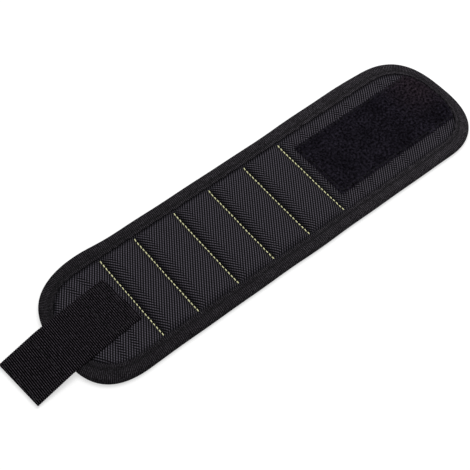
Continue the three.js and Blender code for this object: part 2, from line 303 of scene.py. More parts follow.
def end_share(x):
    """How far x is into a rounded end: 0 along the straight of the band and 1 at the tip."""
    reach = settings("cloth").end_reach
    return np.maximum(np.maximum(x - (band_end - reach), band_start + reach - x), 0) / reach


def half_width_at(x, inset):
    """Half of the band's width at x, drawn in from the rim."""
    power = settings("cloth").end_roundness
    share = 1 - inset / half_width
    return half_width * np.maximum(share**power - end_share(x) ** power, 0) ** (1 / power)


def from_tape(x, y):
    """Distance inwards from the tape's inside edge."""
    power = settings("cloth").end_roundness
    edge_share = (end_share(x) ** power + np.abs(y / half_width) ** power) ** (1 / power)
    return (1 - edge_share) * half_width - tape_width


def from_row(x):
    """Distance to the nearest sewn row, rounded at the bottom of the valley."""
    nearest = np.min([np.abs(x - row) for row in sewn_rows], axis=0)
    valley = 0.5 * mm
    return np.sqrt(nearest**2 + valley**2) - valley


def rise(distance, reach):
    """From 0 at no distance to 1 at the full reach and past it, level there."""
    share = np.clip(distance / reach, 0, 1)
    return 1 - (1 - share) ** settings("cloth").puff


def in_pockets(x):
    """Whether x lies between the first and the last sewn row."""
    return (x > sewn_rows[0]) & (x < sewn_rows[-1])


def puffed_height(x):
    """Top of the face away from the tape: low at each sewn row, and up to the crown between them."""
    sizes = settings("cloth")
    crown = np.where(in_pockets(x), pocket_crown, end_crown)
    return sizes.row_height + (crown - sizes.row_height) * rise(from_row(x), sizes.crown_reach)


def face_relief(x, y):
    """Unevenness of the face: slow waves, the pull of each stitch, folds beside the rows, and ruffles."""
    sizes = settings("cloth")
    row = from_row(x)
    slow = np.sin(x / (5.1 * mm)) * np.cos(y / (6.7 * mm) + 1) + np.sin(x / (8.3 * mm) + y / (4.9 * mm))
    pulled_from, folds_from, ruffles_from = 1.3 * mm, 2.6 * mm, 6 * mm  # reach of each from a row
    pulls = np.cos(2 * math.pi * y / settings("thread").row_stitch) * bell(row, pulled_from)
    fold_width, bunch_width, bunch_drift = 1.15 * mm, 7 * mm, 40
    bunches = 2 * np.sin(y / bunch_width + bunch_drift * x)
    folded = np.sin(y / fold_width + bunches) * np.exp(-row / folds_from)
    ruffle_pitch, ruffle_slant, pocket_share = 14 * mm, 0.35, 0.2
    ruffled = np.where(in_pockets(x), pocket_share, 1.0) * (1 - bell(row, ruffles_from))
    drift = 1.3 * np.sin(x / (6 * mm))
    ruffles = ruffled * np.sin(2 * math.pi * (x + ruffle_slant * np.abs(y)) / ruffle_pitch + drift)
    return sizes.unevenness * slow + sizes.pucker * (pulls + folded) + sizes.ruffle * ruffles


def face_height(x, y):
    """Top of the face: puffed and uneven, and drawn down to where it goes under the tape."""
    sizes = settings("cloth")
    across = rise(np.maximum(from_tape(x, y), 0), sizes.edge_reach)
    return sizes.under_tape + (puffed_height(x) + face_relief(x, y) - sizes.under_tape) * across


def lining_bottom(x, y):
    """Underside of the lining: on the table, drawn up at the rows and over the lower leg of the tape."""
    sizes = settings("cloth")
    climb, clearance, groove_reach = 1.5 * mm, 0.2 * mm, 1.8 * mm
    over_tape = smooth(1 - np.clip(from_tape(x, y) / climb, 0, 1))
    groove = sizes.row_groove * bell(from_row(x), groove_reach)
    return np.maximum((sizes.thickness + clearance) * over_tape, groove)


def face_lean(x, y):
    """1 where the face slopes towards the strap, as it does just past each row, and 0 where it doesn't."""
    step = 0.3 * mm
    least_slope, slope_span = 0.08, 0.16
    slope = (face_height(x + step, y) - face_height(x - step, y)) / (2 * step)
    return smooth(np.clip((slope - least_slope) / slope_span, 0, 1))


def painted_crease_shade(x, y):
    """How much painted shade the weave gets: along a sewn row, and most where it goes under the tape."""
    row_reach, tape_reach, most = 2.2 * mm, 1.5 * mm, 1.8
    # painted shade, deepest where the face goes under the tape's edge
    under_tape = most * bell(from_tape(x, y) + tape_turn_in, tape_reach)
    return np.maximum(bell(from_row(x), row_reach), under_tape)


def cloth_length(x):
    """Length along the face to x, over the crowns, so that the weave keeps its pitch over the pockets."""
    line = np.linspace(band_start, band_end, 6000)
    return np.interp(x, line, length_so_far(line, puffed_height(line)))


# Meshes


def grid_mesh(columns, rows, place, flat=None, marks=()):
    """A grid that place(u, v) puts in the frame, with its UV map from flat(u, v), in metres, and its marks.

    Without flat, the UV map holds u and v, from 0 to 1. marks are pairs of an attribute's name and the
    function of x and y that gives its values.
    """
    bm = bmesh.new()
    layer = bm.loops.layers.uv.new(CLOTH)
    bmesh.ops.create_grid(bm, x_segments=columns, y_segments=rows, size=0.5)
    bm.verts.index_update()
    u, v = (np.array([vert.co[axis] for vert in bm.verts]) + 0.5 for axis in (0, 1))
    points = np.stack(place(u, v), axis=-1)
    spread = np.stack(flat(u, v) if flat else (u, v), axis=-1)
    for vert in bm.verts:
        vert.co = points[vert.index]
    for face in bm.faces:
        for loop in face.loops:
            loop[layer].uv = spread[loop.vert.index]
    for name, values_at in marks:
        mark = bm.verts.layers.float.new(name)
        for vert, value in zip(bm.verts, values_at(points[:, 0], points[:, 1])):
            vert[mark] = value
    return bm


def thicken(bm, drop):
    """Closes a sheet to a solid: its copy is moved straight down, by a length or by a function of x and y."""
    made = bmesh.ops.extrude_face_region(bm, geom=bm.faces[:])["geom"]
    lower = [part for part in made if isinstance(part, bmesh.types.BMVert)]
    for vert in lower:
        vert.co.z -= drop(vert.co.x, vert.co.y) if callable(drop) else drop
    bmesh.ops.recalc_face_normals(bm, faces=bm.faces[:])


def close_tube(bm):
    """Joins the seam of a rolled grid and closes its two ends."""
    bmesh.ops.remove_doubles(bm, verts=bm.verts[:], dist=merge_distance)
    open_edges = [edge for edge in bm.edges if edge.is_boundary]
    if open_edges:
        caps = bmesh.ops.holes_fill(bm, edges=open_edges, sides=0)["faces"]
        bmesh.ops.triangulate(bm, faces=caps)
    bmesh.ops.recalc_face_normals(bm, faces=bm.faces[:])


def mesh_of(bm, name):
    """A mesh from a bmesh, which is freed."""
    mesh = bpy.data.meshes.new(name)
    bm.to_mesh(mesh)
    bm.free()
    return mesh


def piece(name, shape, finish, slot):
    """A named object from a bmesh or a mesh, smooth except at its real edges, with its finish. The slot is not
    used.
    """
    mesh = mesh_of(shape, name) if isinstance(shape, bmesh.types.BMesh) else shape
    mesh.name = name
    mesh.shade_smooth()
    mesh.set_sharp_from_angle(angle=math.radians(50))
    mesh.materials.clear()
    mesh.materials.append(finish)
    obj = bpy.data.objects.new(name, mesh)
    bpy.context.scene.collection.objects.link(obj)
    return obj


def copies(bm, count):
    """The points of the bmesh, and a mesh that holds it so many times over."""
    points = np.array([vert.co for vert in bm.verts])
    template = mesh_of(bm, "template")
    whole = bmesh.new()
    for _ in range(count):
        whole.from_mesh(template)
    bpy.data.meshes.remove(template)
    return points, mesh_of(whole, "copies")


def set_points(mesh, points):
    """Moves a mesh's points."""
    mesh.vertices.foreach_set("co", points.ravel())
    mesh.update()


def bend_with_fold(obj, index):
    """Bakes the piece's place into its mesh; the piece lies over one fold of the band but doesn't bend with it.
    """
    sizes = settings("cloth")
    reach = sizes.bend_reach if folds[index] in sewn_rows else sizes.long_bend_reach
    left, right = neighbours[index]
    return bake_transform(obj, left, right, start=(folds[index] - reach, 0, 0), end=(folds[index] + reach, 0, 0))


# Finishes


class Value:
    """A number or a colour that a node gives. Arithmetic on it adds Math nodes to its tree."""

    def __init__(self, tree, socket):
        self.tree = tree
        self.socket = socket

    def math(self, operation, first, second=0.0):
        """A Math node's result."""
        node = self.tree.nodes.new("ShaderNodeMath")
        node.operation = operation
        put(self.tree, node.inputs[0], first)
        put(self.tree, node.inputs[1], second)
        return Value(self.tree, node.outputs[0])

    def __add__(self, other):
        return self.math("ADD", self, other)

    def __sub__(self, other):
        return self.math("SUBTRACT", self, other)

    def __rsub__(self, other):
        return self.math("SUBTRACT", other, self)

    def __mul__(self, other):
        return self.math("MULTIPLY", self, other)

    def __truediv__(self, other):
        return self.math("DIVIDE", self, other)

    def __pow__(self, other):
        return self.math("POWER", self, other)

    def __abs__(self):
        return self.math("ABSOLUTE", self)

    def at_least(self, other):
        """The larger of the two."""
        return self.math("MAXIMUM", self, other)

    def sine(self):
        """The sine of an angle."""
        return self.math("SINE", self)


def put(tree, socket, value):
    """Links a socket to a value, or sets it to a number or a colour."""
    if isinstance(value, Value):
        tree.links.new(value.socket, socket)
    elif isinstance(value, (int, float)):
        socket.default_value = value
    else:
        socket.default_value = (*value, 1)


class Finish:
    """A material with a Principled shader, and short calls that add nodes to it."""

    def __init__(self, name, colour, roughness, metallic=0.0, specular=0.1):
        self.material = bpy.data.materials.new(name)
        self.material.use_nodes = True
        self.tree = self.material.node_tree
        self.shader = self.tree.nodes["Principled BSDF"]
        self.set("Base Color", colour)
        self.set("Roughness", roughness)
        self.set("Metallic", metallic)
        self.set("Specular IOR Level", specular)

    def set(self, name, value):
        """Sets one of the shader's sockets, or links it to a value."""
        put(self.tree, self.shader.inputs[name], value)

    def add(self, kind, inputs=None, output=0, **options):
        """Adds a node with its options and its inputs, and gives one of its outputs."""
        node = self.tree.nodes.new("ShaderNode" + kind)
        for name, value in options.items():
            setattr(node, name, value)
        for key, value in (inputs or {}).items():
            put(self.tree, node.inputs[key], value)
        return Value(self.tree, node.outputs[output])

    def flat_place(self):
        """The two coordinates over the flat cloth, in metres."""
        along = self.add("SeparateXYZ", {0: self.add("UVMap", uv_map=CLOTH)})
        return along, Value(self.tree, along.socket.node.outputs[1])

    def wave(self, place, period, phase=0.0):
        """A sine with the given period."""
        return (place * (2 * math.pi / period) + phase).sine()

    def noise(self, cells, detail=3.0, by_uv=True, roughness=0.6):
        """Noise from 0 to 1, so many cells to the metre, over the flat cloth or through the solid piece."""
        place = self.add("UVMap", uv_map=CLOTH) if by_uv else self.add("TexCoord", output="Object")
        inputs = {"Scale": cells, "Detail": detail, "Roughness": roughness, "Vector": place}
        return self.add("TexNoise", inputs, output="Fac")

    def mark(self, name):
        """A number stored on the mesh."""
        return self.add("Attribute", output="Fac", attribute_name=name)

    def spread(self, value, low=0.35, high=0.65):
        """A value such as noise drawn out to the full range: 0 at the low end and 1 at the high one."""
        return self.add("MapRange", {"Value": value, "From Min": low, "From Max": high})

    def blend(self, share, first, second):
        """A number between two."""
        return self.add("Mix", {0: share, 2: first, 3: second})

    def mix(self, share, first, second):
        """A colour between two."""
        return self.add("Mix", {0: share, 6: first, 7: second}, output=2, data_type="RGBA")

    def bump(self, height, distance, strength=1.0):
        """Raises the surface by a height from 0 to 1 times a distance."""
        inputs = {"Height": height, "Distance": distance, "Strength": strength}
        self.set("Normal", self.add("Bump", inputs))


def scaled(colour, factor):
    """A lighter or darker colour."""
    return tuple(channel * factor for channel in colour)


def nylon():
    """Coarse plain weave of slanted yarn, with painted highlights on its nubs that join to lines one way, and
    the other way on a lean, and painted shade along the rows and under the tape.
    """
    colours = settings("colours")
    finish = Finish("face_nylon", colours.face, 0.5, specular=0.02)
    along, across = finish.flat_place()
    turns_along = along / (1.938 * mm)
    turns_across = across / (2.786 * mm)
    up_line = finish.wave(turns_along - turns_across, 1, math.pi / 2)
    down_line = finish.wave(turns_along + turns_across, 1, -math.pi / 2)
    lean = finish.mark(LEAN)
    # painted highlights: the lit nubs join to lines one way, and the other way where the cloth leans towards the
    # strap
    lines = finish.blend(lean * 0.55 + 0.2, up_line, down_line)
    # painted shade along the sewn rows and under the tape, deeper where the cloth leans towards the strap
    painted_shade = finish.mark(CREASE_SHADE) * (lean * 0.45 + 0.4)
    painted_glint = ((lines + 1.0) * 0.5) ** 4.2 * (1.0 - painted_shade)
    lit = finish.mix(finish.noise(900), scaled(colours.face, 0.6), scaled(colours.face, 1.4))
    finish.set("Base Color", finish.mix(painted_glint, colours.face_dark, lit))
    finish.set("Roughness", finish.noise(1500) * 0.2 + 0.4)
    finish.bump(abs((up_line + down_line) * 0.5), 0.14 * mm, 0.8)
    return finish.material


def tape_cloth():
    """Ribbed tape: fine ribs across it with painted highlights on their nubs, rubbed lighter here and there,
    painted shade along the seam, and lighter towards the loop end's tip and darker at the strap's end.
    """
    colours = settings("colours")
    finish = Finish("edge_tape", colours.tape, 0.8, specular=0.01)
    along, across = finish.flat_place()
    rib, dent, rib_slant, seam_shade_width = 1.22 * mm, 1.1 * mm, 0.09, 1 * mm
    ribs = abs(finish.wave(along + across * rib_slant, 2 * rib))
    dents = abs(finish.wave(across, dent))
    # painted shade along the seam's groove: darkest at the seam, gone a width off
    from_seam = abs(across - (tape_width - tape_turn_in - settings("thread").tape_seam)) / seam_shade_width
    seam_shade = (1.0 - from_seam).at_least(0.0) * 0.5
    patches = finish.blend(finish.spread(finish.noise(130, 2)), 0.7, 1.0)
    whole = rim_line()[0][-1]
    # lighter towards the loop end's tip and darker at the strap's end
    towards_tip = finish.wave(along, whole, math.pi / 2 - 2 * math.pi * tip_along_rim / whole)
    lighter_towards_tip = towards_tip * 0.24 + 0.78
    # painted highlights on the ribs' nubs, held back along the seam by its painted shade
    nubs = ribs**3.0 * finish.blend(0.5, 1.0, dents) * (1.0 - seam_shade) * (patches * lighter_towards_tip)
    dull, bright = scaled(colours.tape, 0.25), scaled(colours.tape, 2.6)
    rubbed = finish.mix(finish.spread(finish.noise(1100, 2)), dull, bright)
    finish.set("Base Color", finish.mix(nubs, scaled(colours.tape, 0.06), rubbed))
    finish.bump(ribs + dents * 0.4, 0.1 * mm, 0.8)
    return finish.material


def lining_knit():
    """Knitted mesh with a staggered pattern of small holes, with painted shade in them."""
    colours = settings("colours")
    finish = Finish("lining_mesh", colours.lining, 0.85)
    along, across = finish.flat_place()
    pitch, squeeze, yarn = 2.6 * mm, 0.8, 0.6 * mm
    hole = abs(finish.wave(along, 2 * pitch) * finish.wave(across, 2 * pitch * squeeze)) ** 2.5
    # painted shade in the holes: the colour is darkest there
    finish.set("Base Color", finish.mix(hole, scaled(colours.lining, 1.3), scaled(colours.lining, 0.25)))
    finish.bump(finish.wave(along, yarn) * 0.12 - hole, 0.3 * mm, 0.9)
    return finish.material


def webbing_cloth():
    """Black webbing: the ribs are in the mesh, with painted highlights along their tops, and the warp shows as
    nubs, staggered from rib to rib.
    """
    colours = settings("colours")
    strap = settings("strap")
    finish = Finish("webbing", colours.strap, 0.6, specular=0.005)
    along, across = finish.flat_place()
    warp = 2.37 * mm
    rib = finish.wave(along - across * math.tan(strap.rib_skew), 2 * strap.rib)
    staggered = rib * finish.wave(across, warp)
    # painted highlights along the rib tops
    painted_glint = abs(rib) ** 14.0 * (staggered * 0.14 + 0.86)
    dull, bright = scaled(colours.strap, 0.45), scaled(colours.strap, 2)
    lit = finish.mix(finish.spread(finish.noise(800, 3)), dull, bright)
    finish.set("Base Color", finish.mix(painted_glint, scaled(colours.strap, 0.01), lit))
    finish.bump(staggered + finish.noise(3000), 0.06 * mm, 0.7)
    return finish.material


def pile_cloth():
    """Matt black nylon loops, lighter here and there, and browner where the pile is worn at the tip."""
    colours = settings("colours")
    finish = Finish("loop_pile", colours.pile, 0.8, specular=0.01)
    along, across = finish.flat_place()
    speckle = finish.spread(finish.noise(620, 4)) ** 1.4
    dull, bright = scaled(colours.pile, 0.8), scaled(colours.pile, 1.4)
    worn = finish.mix(finish.spread(finish.noise(60, 2)), dull, bright)
    at_tip = finish.spread(along, 138 * mm, 162 * mm) * finish.spread(across, -14 * mm, 6 * mm)
    worn = finish.mix(at_tip, worn, colours.worn_pile)
    finish.set("Base Color", finish.mix(speckle, scaled(colours.pile, 0.05), worn))
    finish.bump(finish.noise(2500, 4), 0.2 * mm, 0.6)
    return finish.material


def hook_plastic():
    """Moulded black hooks."""
    finish = Finish("hook_tape", settings("colours").hooks, 0.45, specular=0.3)
    finish.set("Roughness", finish.noise(900, by_uv=False) * 0.2 + 0.35)
    finish.bump(finish.noise(1800, by_uv=False), 0.05 * mm, 0.4)
    return finish.material


def foam_block():
    """Open-cell foam."""
    colours = settings("colours")
    finish = Finish("padding_foam", colours.foam, 0.95)
    cells = finish.noise(1400, 5, by_uv=False, roughness=0.75)
    finish.set("Base Color", finish.mix(cells, scaled(colours.foam, 0.5), scaled(colours.foam, 1.5)))
    finish.bump(cells, 0.4 * mm, 0.9)
    return finish.material


def nickel_plate():
    """Nickel with faint tumbling marks."""
    finish = Finish("nickel", settings("colours").nickel, 0.25, metallic=1.0)
    marks = finish.noise(400, 5, by_uv=False)
    finish.set("Roughness", marks * 0.25 + 0.14)
    finish.bump(marks, 0.01 * mm, 0.5)
    return finish.material


def thread(name, colour):
    """Twisted sewing thread: the twist runs round each stitch."""
    finish = Finish(name, colour, 0.55, specular=0.15)
    along, around = finish.flat_place()
    twist_around, twist_along = 9 * math.pi, 12.6
    ply = abs((around * twist_around + along * twist_along).sine())
    finish.set("Base Color", finish.mix(ply, scaled(colour, 0.7), colour))
    finish.bump(ply, 0.08 * mm, 0.6)
    return finish.material


# Stitches


def stitches_on(path, pitch, gap=0.14, slant=0.0, up=1.0):
    """A run of stitches of about one pitch along a path of points, as their starts, ends and upward sides.

    gap is the share of the pitch between two stitches, slant turns each a little off the path along X, and
    up is -1 on the underside.
    """
    lengths = length_so_far(*path.T)
    count = max(int(round(lengths[-1] / pitch)), 1)
    marks = np.linspace(0, lengths[-1], count + 1)
    half_gap = gap / 2 * marks[1]
    aside = np.array([slant, 0, 0])
    at = lambda place: np.stack([np.interp(place, lengths, values) for values in path.T], axis=-1)
    starts, ends = at(marks[:-1] + half_gap) - aside, at(marks[1:] - half_gap) + aside
    return starts, ends, np.tile((0, 0, up), (count, 1))


def sew(name, runs, thickness, finish):
    """Runs of stitches as one piece: each is a rounded length of thread whose ends go down into the cloth."""
    starts, ends, ups = (np.concatenate(part) for part in zip(*runs))
    bm = bmesh.new()
    bm.loops.layers.uv.new(CLOTH)
    bmesh.ops.create_uvsphere(bm, u_segments=8, v_segments=8, radius=1, calc_uvs=True)
    unit, mesh = copies(bm, len(starts))
    along = ends - starts
    length = np.linalg.norm(along, axis=1, keepdims=True)
    along = along / length
    side = np.cross(ups, along)
    side /= np.linalg.norm(side, axis=1, keepdims=True)
    up = np.cross(along, side)
    standing, dive = 0.25, 0.65  # in thicknesses: how far a stitch stands out, and how far its ends go down
    reach = np.sign(unit[:, 2]) * np.abs(unit[:, 2]) ** 0.8
    body = np.sqrt(np.maximum(1 - reach**4, 0))
    girth = np.hypot(unit[:, 0], unit[:, 1])
    girth = np.where(girth > 0, body / np.maximum(girth, 1e-9), 0)
    sideways = unit[:, 0] * girth * thickness / 2
    upwards = unit[:, 1] * girth * thickness / 2 + thickness * (standing - dive * reach**4)
    points = (
        ((starts + ends) / 2)[:, None]
        + (reach[None, :, None] * (length / 2)[:, None]) * along[:, None]
        + sideways[None, :, None] * side[:, None]
        + upwards[None, :, None] * up[:, None]
    )
    set_points(mesh, points.reshape(-1, 3))
    return piece(name, mesh, finish, finish.name)


def path_of(x, y, z):
    """A line of points from its coordinates."""
    return np.stack(np.broadcast_arrays(x, y, z), axis=-1)


# The rim as one closed line, from the near side round the loop end, the far side and the strap's end


def rim_line():
    """Arrays along the rim: its length so far, and the centre and the two reaches that give a place on it."""
    sizes = settings("cloth")
    near_x = np.linspace(band_start + sizes.end_reach, band_end - sizes.end_reach, 400)
    angle = np.linspace(-math.pi / 2, math.pi / 2, 800)
    power = 2 / sizes.end_roundness
    out = np.abs(np.cos(angle)) ** power
    side = np.sign(angle) * np.abs(np.sin(angle)) ** power
    flat = np.zeros_like(near_x)
    one = np.ones_like(near_x)
    at_end, at_start = np.full_like(angle, near_x[-1]), np.full_like(angle, near_x[0])
    centre = np.concatenate([near_x, at_end, near_x[::-1], at_start])
    reach_x = np.concatenate([flat, out, flat, -out]) * sizes.end_reach
    reach_y = np.concatenate([-one, side, one, -side]) * half_width
    length = length_so_far(centre + reach_x, reach_y)
    keep = np.diff(length, prepend=-1) > merge_distance
    return length[keep], centre[keep], reach_x[keep], reach_y[keep]


def rim_waves(along, counts):
    """Waves that run so many times round the whole rim, so that they meet at its start."""
    turn = 2 * math.pi * along / rim_line()[0][-1]
    return sum(np.sin(count * turn + number) for number, count in enumerate(counts)) / len(counts)


def rim_place(along, inset):
    """x and y at a length along the rim, drawn in by an inset, where the rim wanders a little."""
    sizes = settings("cloth")
    length, centre, reach_x, reach_y = rim_line()
    total = length[-1]
    outer = 1 - np.clip(inset / tape_width, 0, 1)
    out = sizes.rim_wave * (1.5 + rim_waves(along, rim_wander))
    for place, spread, bulge in rim_bulges:
        gap = (along - place + total / 2) % total - total / 2
        out = out + bulge * bell(gap, spread * math.sqrt(2))
    inset = inset - outer * out - (1 - outer) * sizes.edge_wave * rim_waves(along, inside_edge_wander)
    share = 1 - inset / half_width
    at = lambda values: np.interp(along, length, values, period=total)
    return at(centre) + share * at(reach_x), share * at(reach_y)


def rim_spans(index):
    """The stretches of the rim, from length to length, that go with the cloth over one fold."""
    end_reach = settings("cloth").end_reach
    total = rim_line()[0][-1]
    straight = band_end - band_start - 2 * end_reach
    arc = total / 2 - straight
    near = lambda x: x - (band_start + end_reach)
    far = lambda x: straight + arc + (band_end - end_reach - x)
    if index == 0:
        return {"strap_end": (far(cuts[1]), total + near(cuts[1]))}
    if index == last_fold:
        return {"loop_end": (near(cuts[index]), far(cuts[index]))}
    low, high = cuts[index], cuts[index + 1]
    return {"near": (near(low), near(high)), "far": (far(high), far(low))}


def fold_profile(offset):
    """The tape's folded section at a depth into it, as insets and heights, from its upper inside edge."""
    radius = settings("cloth").rim_radius
    quarter = np.linspace(0, math.pi / 2, 7)
    level = np.linspace(tape_width - tape_turn_in, radius, 14, endpoint=False)
    inner = radius - offset
    insets = [level, radius - inner * np.sin(quarter), radius - inner * np.cos(quarter), level[::-1]]
    heights = [
        np.full_like(level, tape_top - offset),
        tape_top - radius + inner * np.cos(quarter),
        radius - inner * np.sin(quarter),
        np.full_like(level, offset),
    ]
    return np.concatenate(insets), np.concatenate(heights)


def seam_depth(along, inset):
    """How far the seam and the turned-in edge draw the tape in, with slight gathers."""
    seam = settings("thread").tape_seam
    seam_reach, seam_pull, edge_pull = 0.7 * mm, 0.45 * mm, 0.2 * mm
    gathers = 1 + 0.2 * rim_waves(along, seam_gathers)
    past_seam = np.clip((inset - seam) / (tape_width - seam), 0, 1)
    return seam_pull * bell(inset - seam, seam_reach) * gathers + edge_pull * past_seam


def tape_swell(along, inset):
    """Slow unevenness of the tape between rim and seam."""
    most = 0.2 * mm
    share = np.clip(inset / settings("thread").tape_seam, 0, 1)
    gathers = rim_waves(along, seam_gathers) * (0.4 + 0.6 * share)
    return most * np.sin(math.pi * share) ** 2 * (1 + gathers)


# Cloth, padding and magnets


def cloth_inset(index):
    """How far inside the rim the cloth over one fold ends."""
    return inset_at_tip if index == last_fold else inset_of_cloth


def cloth_ends(index):
    """The ends of the cloth over one fold, inside the tape at a rounded end."""
    end_inset = cloth_inset(index) * settings("cloth").end_reach / half_width
    low = cuts[index] + (end_inset if index == 0 else 0)
    high = cuts[index + 1] - (end_inset if index == last_fold else 0)
    return low, high


def spaced(index, share):
    """x at a share of the cloth over one fold, with finer steps towards a rounded end."""
    low, high = cloth_ends(index)
    crowding = 1.6
    if index == 0:
        return low + (high - low) * share**crowding
    if index == last_fold:
        return high - (high - low) * (1 - share) ** crowding
    return low + (high - low) * share


def lay_cloth(kind, index, top, along, step, finish, slot, marks=()):
    """One length of face or lining over a fold: a closed sheet with its top and its length along given."""
    thickness = settings("cloth").thickness
    low, high = cloth_ends(index)

    def place(u, v):
        x = spaced(index, u)
        y = (2 * v - 1) * half_width_at(x, cloth_inset(index))
        return x, y, top(x, y)

    def flat(u, v):
        x, y, _ = place(u, v)
        return along(x), y

    bm = grid_mesh(round((high - low) / step), round(2 * half_width / step), place, flat, marks)
    area = sum(face.calc_area() for face in bm.faces)
    thicken(bm, thickness)
    obj = piece(f"{kind}_cloth_{index + 1}", bm, finish, slot)
    stood_for = sections[index : index + 1] + (sections[-1:] if index == last_fold else [])
    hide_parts(*(f"{kind}_{name}" for name in stood_for))
    bend_with_fold(obj, index)
    width = 2 * (half_width - inset_of_cloth)
    long_way = max(high - low, area / width)
    pads = ["padding_" + name for name in neighbours[index]]
    min(area, width * long_way)


class WRISTBAND_OT_face(Operator):
    """Makes the face cloth, one length over each fold, puffed over the pockets."""

    bl_idname = "wristband.face"
    bl_label = "Face cloth"

    def execute(self, context):
        finish = nylon()
        marks = [(LEAN, face_lean), (CREASE_SHADE, painted_crease_shade)]
        for index in range(len(folds)):
            lay_cloth("face", index, face_height, cloth_length, 0.7 * mm, finish, "face_fabric", marks)
        return {"FINISHED"}


class WRISTBAND_OT_lining(Operator):
    """Makes the knitted lining, one length under each fold."""

    bl_idname = "wristband.lining"
    bl_label = "Lining"

    def execute(self, context):
        finish = lining_knit()
        top = lambda x, y: lining_bottom(x, y) + settings("cloth").thickness
        for index in range(len(folds)):
            lay_cloth("lining", index, top, lambda x: x, 1 * mm, finish, "lining_mesh")
        return {"FINISHED"}


class WRISTBAND_OT_padding(Operator):
    """Makes the foam pads, with a round recess for each magnet."""

    bl_idname = "wristband.padding"
    bl_label = "Padding"

    def execute(self, context):
        sizes = settings("cloth")
        finish = foam_block()
        step, clear = 1.5 * mm, 0.15 * mm
        for name in sections:
            node_low, node_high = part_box("padding_" + name)
            drawn_in = inset_at_tip - inset_of_cloth if name == sections[-1] else 0
            inset = half_width - node_high.y + drawn_in
            length = node_high.x - node_low.x - drawn_in * sizes.end_reach / half_width

            def top(x, y):
                return face_height(x, y) - sizes.thickness - clear

            def place(u, v):
                x = node_low.x + length * u
                y = (2 * v - 1) * half_width_at(x, inset)
                return x, y, top(x, y)

            def depth(x, y):
                return top(x, y) - (lining_bottom(x, y) + sizes.thickness + clear)

            bm = grid_mesh(round(length / step), round((node_high.y - node_low.y) / step), place)
            thicken(bm, depth)
            obj = piece("foam_" + name, bm, finish, "padding_foam")
            for magnet in (node for node in frame["nodes"] if node.startswith("magnet_" + name + "_")):
                cut_recess(obj, magnet)
            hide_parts("padding_" + name)
            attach(obj, name)
        return {"FINISHED"}


def disc(node, grow, past_top):
    """A bmesh disc on a magnet node's place, wider by grow and reaching up past its top."""
    low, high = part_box(node)
    bm = bmesh.new()
    radius = (high.x - low.x) / 2 + grow
    depth = high.z - low.z + grow + past_top
    bmesh.ops.create_cone(bm, cap_ends=True, segments=64, radius1=radius, radius2=radius, depth=depth)
    middle = (low + high) / 2
    bmesh.ops.translate(bm, verts=bm.verts[:], vec=(middle.x, middle.y, low.z - grow + depth / 2))
    return bm


def cut_recess(obj, magnet):
    """Cuts a magnet's recess from a pad, open at the top."""
    clearance, past_top = 0.3 * mm, 5 * mm
    cutter = bpy.data.objects.new("recess", mesh_of(disc(magnet, clearance, past_top), "recess"))
    bpy.context.scene.collection.objects.link(cutter)
    cut = obj.modifiers.new("recess", "BOOLEAN")
    cut.operation = "DIFFERENCE"
    cut.solver = "EXACT"
    cut.object = cutter
    bpy.context.view_layer.update()
    done = bpy.data.meshes.new_from_object(obj.evaluated_get(bpy.context.evaluated_depsgraph_get()))
    obj.modifiers.clear()
    obj.data = done
    bpy.data.objects.remove(cutter)


class WRISTBAND_OT_magnets(Operator):
    """Makes the nickel-plated disc magnets in their recesses."""

    bl_idname = "wristband.magnets"
    bl_label = "Magnets"

    def execute(self, context):
        finish = nickel_plate()
        rounding, level = 0.3 * mm, 0.01 * mm
        for node in sorted(name for name in frame["nodes"] if name.startswith("magnet_")):
            bm = disc(node, 0, 0)
            rims = [edge for edge in bm.edges if abs(edge.verts[0].co.z - edge.verts[1].co.z) < level]
            bevel = {"affect": "EDGES", "offset": rounding, "segments": 3, "profile": 0.5, "material": -1}
            bmesh.ops.bevel(bm, geom=rims, **bevel)
            obj = piece(node.replace("magnet", "magnet_disc"), bm, finish, "nickel")
            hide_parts(node)
            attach(obj, "_".join(node.split("_")[1:3]))
        return {"FINISHED"}


# Edge tape and rows of stitches


def tape_nodes(index, side):
    """The tape nodes that one length of tape stands for."""
    if side == "strap_end":
        return ["edge_tape_" + sections[0]]
    if side == "loop_end":
        return [*tape_nodes(index, "near"), *tape_nodes(index, "far"), "edge_tape_" + sections[-1]]
    return [f"edge_tape_{sections[index]}_{side}"]


class WRISTBAND_OT_tape(Operator):
    """Makes the edge tape, folded round the rim and drawn in along its seam."""

    bl_idname = "wristband.tape"
    bl_label = "Edge tape"

    def execute(self, context):
        finish = tape_cloth()
        outer, inner = fold_profile(0), fold_profile(settings("cloth").thickness)
        insets, heights = (np.concatenate([out, into[::-1], out[:1]]) for out, into in zip(outer, inner))
        girth = length_so_far(insets, heights)
        rows = len(insets) - 1
        shares = np.arange(rows + 1) / rows
        step = 0.6 * mm
        for index in range(len(folds)):
            for side, (first, last) in rim_spans(index).items():

                def place(u, v):
                    along = first + (last - first) * u
                    inset = np.interp(v, shares, insets)
                    height = np.interp(v, shares, heights)
                    x, y = rim_place(along, inset)
                    up = np.clip((height - tape_top / 2) / (tape_top / 4), -1, 1)
                    swell = tape_swell(along, inset) * (up > 0)
                    return x, y, height + up * (swell - seam_depth(along, inset))

                def flat(u, v):
                    return first + (last - first) * u, np.interp(v, shares, girth)

                bm = grid_mesh(round((last - first) / step), rows, place, flat)
                close_tube(bm)
                named = side if side in ("strap_end", "loop_end") else f"{side}_{index + 1}"
                obj = piece("tape_" + named, bm, finish, "edge_tape")
                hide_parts(*tape_nodes(index, side))
                bend_with_fold(obj, index)
        return {"FINISHED"}


